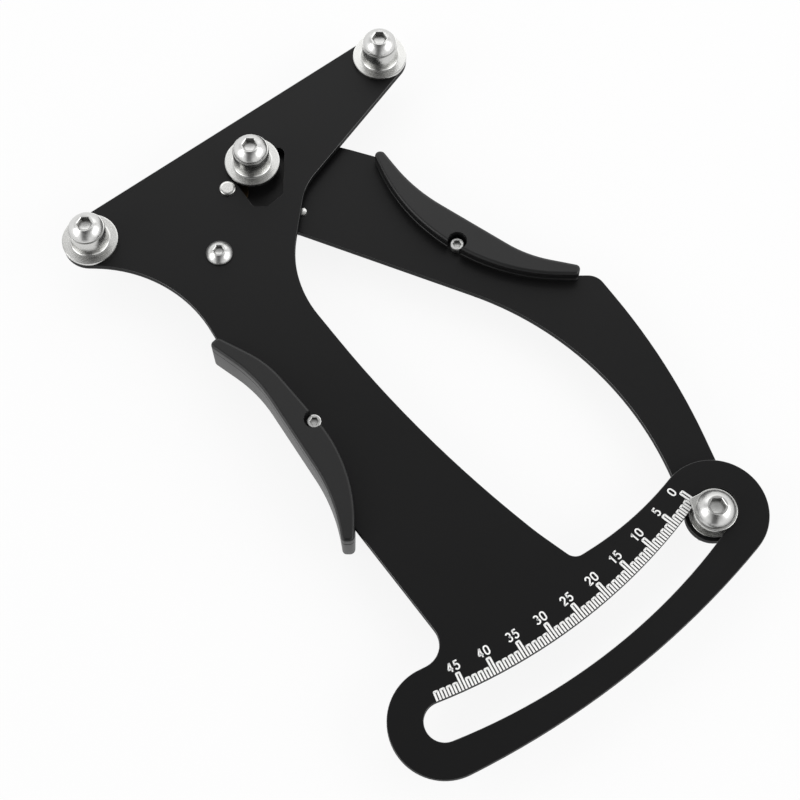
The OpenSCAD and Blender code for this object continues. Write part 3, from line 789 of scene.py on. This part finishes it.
spring = {"coilRadius": 5.6, "wireRadius": 0.7, "turns": 2, "low": 1.65, "high": 6.1, "gap": 0.05,
          "legOver": 3, "pegOver": 1, "pegRadius": 2.2, "spacerRadius": 3.2, "coilSteps": 150, "legSteps": 12,
          "sides": 20}


def springPath():
    # a leg from the spacer, the coil down round the pin, and a leg to the lever's pin
    anchor, peg = Vector(layout["anchor"]), Vector(layout["peg"])
    anchorGap = spring["spacerRadius"] + spring["wireRadius"] + spring["gap"]
    pegGap = spring["pegRadius"] + spring["wireRadius"] + spring["gap"]
    coil, high, low = spring["coilRadius"], spring["high"], spring["low"]
    anchorNormal = angleOf(anchor) + math.degrees(math.acos(-(coil + anchorGap) / anchor.length))
    pegNormal = angleOf(peg) + math.degrees(math.acos((coil + pegGap) / peg.length))
    touch = anchorNormal + 180
    sweep = touch - pegNormal + 360 * spring["turns"]
    legOne = math.sqrt(anchor.length ** 2 - (coil + anchorGap) ** 2) + spring["legOver"]
    legTwo = math.sqrt(peg.length ** 2 - (coil + pegGap) ** 2) + spring["pegOver"]
    steps, few = spring["coilSteps"], spring["legSteps"]
    path = []
    for k in range(few, 0, -1):
        path.append((*(coil * unitAt(touch) + unitAt(anchorNormal - 90) * legOne * k / few), high))
    for i in range(steps + 1):
        path.append((*(coil * unitAt(touch - sweep * i / steps)), high - (high - low) * i / steps))
    for k in range(1, few + 1):
        path.append((*(coil * unitAt(pegNormal) + unitAt(pegNormal - 90) * legTwo * k / few), low))
    return path


def wireTree():
    flow, entry = nodeTree("woundWire", [
        ("Path", "NodeSocketGeometry"), ("Wire radius", "NodeSocketFloat"), ("Sides", "NodeSocketInt"),
        ("Finish", "NodeSocketMaterial")])
    line = flow.node("GeometryNodeMeshToCurve", {}, {"Mesh": entry["Path"]})
    section = flow.node("GeometryNodeCurvePrimitiveCircle", {}, {
        "Resolution": entry["Sides"], "Radius": entry["Wire radius"]})
    tube = flow.node("GeometryNodeCurveToMesh", {}, {
        "Curve": line, "Profile Curve": section, "Fill Caps": True})
    return closeTree(flow, tube, entry["Finish"])


wireValues = {"Wire radius": spring["wireRadius"] * mm, "Sides": spring["sides"], "Finish": finishes["wire"]}
wound = grown("torsionSpring", wireMesh("springPath", [springPath()]), wireTree(), wireValues)
springPiece = shown("torsionSpring", markAxis(cleaned(wound, 50), (0, 0, 0)))
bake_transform(springPiece)
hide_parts("torsion_spring")
print("spring wound")


scale = {
    "marks": 50, "first": -36.02, "step": -0.6494, "startShift": -0.24, "startFade": 4,
    "edgeRadius": 156.5, "minor": 2.4, "major": 4.5, "barWidth": 0.90, "line": 0.56, "thick": 0.03,
    "corner": 0.12,
    "numberRadius": 149.95, "numberHeight": 2.2, "numberWidth": 1.22, "numberPitch": 1.86, "stroke": 0.42,
    "numberTurn": -0.1, "zeroTurn": -0.54,
}


def markAngle(count):
    # even steps, with the first few marks a little further on
    shift = scale["startShift"] * math.exp(-count / scale["startFade"])
    return scale["first"] + scale["step"] * count + shift


def painted(flow, line, width, thick):
    # a flat strip of paint along a line
    level = flow.node("GeometryNodeSetCurveNormal", {"mode": "Z_UP"}, {"Curve": line})
    strip = flow.node("GeometryNodeCurvePrimitiveQuadrilateral", {"mode": "RECTANGLE"}, {
        "Width": width, "Height": thick})
    return flow.node("GeometryNodeCurveToMesh", {}, {
        "Curve": level, "Profile Curve": strip, "Fill Caps": True})


def markTree():
    lengths = ("First angle", "Step angle", "Start shift", "Start fade", "Edge radius", "Minor length",
               "Major length", "Bar width", "Line width", "Thickness", "Corner", "Height")
    flow, entry = nodeTree("scaleMarks", [
        ("Geometry", "NodeSocketGeometry"), ("Marks", "NodeSocketInt"),
        *((label, "NodeSocketFloat") for label in lengths), ("Finish", "NodeSocketMaterial")])
    index = flow.node("GeometryNodeInputIndex")
    fade = flow.maths("EXPONENT", 0.0 - flow.maths("DIVIDE", index, entry["Start fade"]))
    angle = entry["First angle"] + index * entry["Step angle"] + fade * entry["Start shift"]
    place = flow.node("ShaderNodeCombineXYZ", {}, {
        "X": flow.maths("COSINE", angle) * entry["Edge radius"],
        "Y": flow.maths("SINE", angle) * entry["Edge radius"],
        "Z": entry["Height"]})
    points = flow.node("GeometryNodePoints", {}, {"Count": entry["Marks"], "Position": place})
    turn = flow.node("ShaderNodeCombineXYZ", {}, {"Z": angle})
    fifth = flow.maths("MODULO", index + 0.5, 5.0) < 1.0

    def bar(length):
        # an open-ended bar: two legs towards the slot, joined at the inner end
        inner = (index > 0.5) * (index < 2.5)
        shape = flow.node("ShaderNodeCombineXYZ", {}, {
            "X": 0.0 - inner * length, "Y": ((index > 1.5) - 0.5) * entry["Bar width"]})
        legs = flow.node("GeometryNodeMeshLine", {}, {"Count": 4})
        bent = flow.node("GeometryNodeSetPosition", {}, {"Geometry": legs, "Position": shape})
        line = flow.node("GeometryNodeMeshToCurve", {}, {"Mesh": bent})
        soft = flow.node("GeometryNodeFilletCurve", {"mode": "POLY"}, {
            "Curve": line, "Radius": entry["Corner"], "Count": 4})
        return painted(flow, soft, entry["Line width"], entry["Thickness"])

    sets = [flow.node("GeometryNodeInstanceOnPoints", {}, {
        "Points": points, "Selection": chosen, "Instance": bar(length), "Rotation": turn})
        for chosen, length in ((fifth, entry["Major length"]), (1.0 - fifth, entry["Minor length"]))]
    both = flow.node("GeometryNodeJoinGeometry", {}, {"Geometry": sets[0]})
    flow.tree.links.new(sets[1].socket, both.socket.node.inputs["Geometry"])
    return closeTree(flow, both, entry["Finish"])


def strokeTree():
    flow, entry = nodeTree("paintedStrokes", [
        ("Path", "NodeSocketGeometry"), ("Line width", "NodeSocketFloat"),
        ("Thickness", "NodeSocketFloat"), ("Finish", "NodeSocketMaterial")])
    line = flow.node("GeometryNodeMeshToCurve", {}, {"Mesh": entry["Path"]})
    return closeTree(flow, painted(flow, line, entry["Line width"], entry["Thickness"]), entry["Finish"])


def bow(x, y, rx, ry, start, stop, count=14):
    turns = [math.radians(start + (stop - start) * i / count) for i in range(count + 1)]
    return [(x + rx * math.cos(turn), y + ry * math.sin(turn)) for turn in turns]


figures = {  # strokes of each figure in a box one wide and one high
    "0": [bow(0.5, 0.68, 0.47, 0.32, 0, 180) + bow(0.5, 0.32, 0.47, 0.32, 180, 360) + [(0.97, 0.68)]],
    "1": [[(0.18, 0.74), (0.60, 0.97)], [(0.62, 1.04), (0.62, -0.06)]],
    "2": [bow(0.48, 0.70, 0.45, 0.30, 175, -28) + [(0.06, 0.03)], [(-0.02, 0.0), (1.0, 0.0)]],
    "3": [bow(0.45, 0.75, 0.42, 0.25, 150, -90) + [(0.40, 0.50)], bow(0.45, 0.26, 0.49, 0.26, 88, -155)],
    "4": [[(0.66, 1.0), (0.02, 0.30)], [(-0.05, 0.27), (1.05, 0.27)], [(0.72, 1.04), (0.72, -0.06)]],
    "5": [[(0.90, 1.0), (0.16, 1.0)], [(0.18, 1.04), (0.10, 0.50)], bow(0.45, 0.31, 0.49, 0.31, 132, -152)],
}


def numberPaths():
    paths = []
    for value in range(0, scale["marks"], 5):
        angle = markAngle(value) + (scale["numberTurn"] if value else scale["zeroTurn"])
        outward = unitAt(angle)
        across = Vector((-outward.y, outward.x))
        label = str(value)
        for k, sign in enumerate(label):
            shift = (k - (len(label) - 1) / 2) * scale["numberPitch"]
            for stroke in figures[sign]:
                paths.append([scale["numberRadius"] * outward
                              + across * (shift + (x - 0.5) * scale["numberWidth"])
                              - outward * (y - 0.5) * scale["numberHeight"] for x, y in stroke])
    return paths


paintAt = bodyTop + scale["thick"] / 2
markValues = {
    "Marks": scale["marks"], "Finish": finishes["paint"], "Start fade": float(scale["startFade"]),
    "First angle": math.radians(scale["first"]), "Step angle": math.radians(scale["step"]),
    "Start shift": math.radians(scale["startShift"]), "Edge radius": scale["edgeRadius"] * mm,
    "Minor length": scale["minor"] * mm, "Major length": scale["major"] * mm,
    "Bar width": scale["barWidth"] * mm, "Line width": scale["line"] * mm,
    "Thickness": scale["thick"] * mm, "Corner": scale["corner"] * mm, "Height": paintAt * mm,
}
strokeValues = {"Line width": scale["stroke"] * mm, "Thickness": scale["thick"] * mm,
                "Finish": finishes["paint"]}
marks = cleaned(grown("scaleMarks", wireMesh("noPath", []), markTree(), markValues))
settle(shown("scaleMarks", marks), "body", "black_plate")
numbers = grown("scaleNumbers", wireMesh("numberPaths", numberPaths()), strokeTree(), strokeValues)
settle(shown("scaleNumbers", cleaned(put(numbers, 0, 0, paintAt))), "body", "black_plate")


studio = {
    "floorSize": 6.0, "floorColour": (0.90, 0.90, 0.90), "glow": 0.88,
    "softboxes": [  # place, aim, width, height, power
        ((0.05, 0.70, 0.62), (0.05, -0.05, 0.0), 1.6, 0.7, 3.5),
        ((-0.78, -0.30, 0.50), (0.05, -0.06, 0.0), 0.6, 0.6, 2.7),
        ((0.88, -0.20, 0.52), (0.05, -0.06, 0.0), 0.9, 0.6, 3.6),
    ],
    "horizon": 1.15, "zenith": 0.36,
    "back": 0.15, "backWay": (0.0, 0.7, 0.7), "backFrom": 0.6, "backTo": 0.95,
    "gap": 0.9, "gapAcross": (0.993, -0.12, 0.0), "gapFrom": 0.18, "gapTo": 0.40,
    "gapWay": (-0.12, -0.993, 0.0), "gapSoft": 0.25,
}


def makeFloor():
    mesh = bpy.data.meshes.new("floor")
    half = studio["floorSize"] / 2
    corners = [(-half, -half, 0), (half, -half, 0), (half, half, 0), (-half, half, 0)]
    mesh.from_pydata(corners, [], [(0, 1, 2, 3)])
    floor = shown("floor", mesh)
    material, flow, shader = newFinish("paleFloor", {
        "Base Color": (*studio["floorColour"], 1), "Roughness": 0.9, "Specular IOR Level": 0.0})
    path = flow.node("ShaderNodeLightPath", out="Is Camera Ray")
    glossy = flow.node("ShaderNodeLightPath", out="Is Glossy Ray")
    glow = flow.node("ShaderNodeEmission", {}, {"Color": (1, 1, 1, 1), "Strength": 1.0}, out="Emission")
    body = Flow(flow.tree, shader.outputs[0])
    # white to the camera and in reflections, with the floor's own shading left in for the shadow
    mixed = flow.node("ShaderNodeMixShader", {}, {0: (path + glossy) * studio["glow"], 1: body, 2: glow})
    flow.tree.links.new(mixed.socket, flow.tree.nodes["Material Output"].inputs["Surface"])
    mesh.materials.append(material)


def makeWorld():
    world = bpy.data.worlds.new("studioWorld")
    bpy.context.scene.world = world
    world.use_nodes = True
    tree = world.node_tree
    flow = Flow(tree)
    way = flow.node("ShaderNodeTexCoord", out="Generated")

    def towards(direction):
        return flow.vectors("DOT_PRODUCT", way, direction)

    # bright all round low down, darker overhead, and a glow behind
    overhead = towards((0, 0, 1)).mapped(0.0, 1.0, studio["horizon"], studio["zenith"])
    behind = towards(studio["backWay"]).mapped(studio["backFrom"], studio["backTo"], 0.0, studio["back"])
    # and a dark upright gap where the photographer stands
    across = flow.maths("ABSOLUTE", towards(studio["gapAcross"]))
    near = across.mapped(studio["gapFrom"], studio["gapTo"], studio["gap"], 0.0)
    front = towards(studio["gapWay"]).mapped(0.0, studio["gapSoft"], 0.0, 1.0)
    level = (overhead + behind) * (1.0 - near * front)
    seen = flow.node("ShaderNodeLightPath", out="Is Camera Ray")
    background = tree.nodes["Background"]
    background.inputs["Color"].default_value = (1, 1, 1, 1)
    tree.links.new((level * (1.0 - seen) + seen).socket, background.inputs["Strength"])


def makeLights():
    for i, (place, aim, width, height, power) in enumerate(studio["softboxes"]):
        data = bpy.data.lights.new(f"softbox{i}", "AREA")
        data.shape = "RECTANGLE"
        data.size, data.size_y, data.energy = width, height, power
        lamp = bpy.data.objects.new(f"softbox{i}", data)
        lamp.location = place
        lamp.rotation_euler = (Vector(aim) - Vector(place)).to_track_quat("-Z", "Y").to_euler()
        bpy.context.scene.collection.objects.link(lamp)


# the photograph's camera: metres, degrees and pixels
view = {"place": (0.048902, -0.232924, 0.421754), "tilt": 22.389, "roll": -0.283, "focal": 1657.12,
        "frame": 800, "sensor": 36}


def makeCamera():
    data = bpy.data.cameras.new("camera")
    data.sensor_width = view["sensor"]
    data.lens = view["focal"] / view["frame"] * view["sensor"]
    data.clip_start, data.clip_end = 0.01, 20
    camera = bpy.data.objects.new("camera", data)
    tilt = Matrix.Rotation(math.radians(view["tilt"]), 4, "X")
    roll = Matrix.Rotation(-math.radians(view["roll"]), 4, "Z")
    camera.matrix_world = Matrix.Translation(view["place"]) @ tilt @ roll
    bpy.context.scene.collection.objects.link(camera)
    bpy.context.scene.camera = camera


makeFloor()
makeWorld()
makeLights()
makeCamera()
bpy.context.scene.view_settings.view_transform = "Standard"
print("studio set")
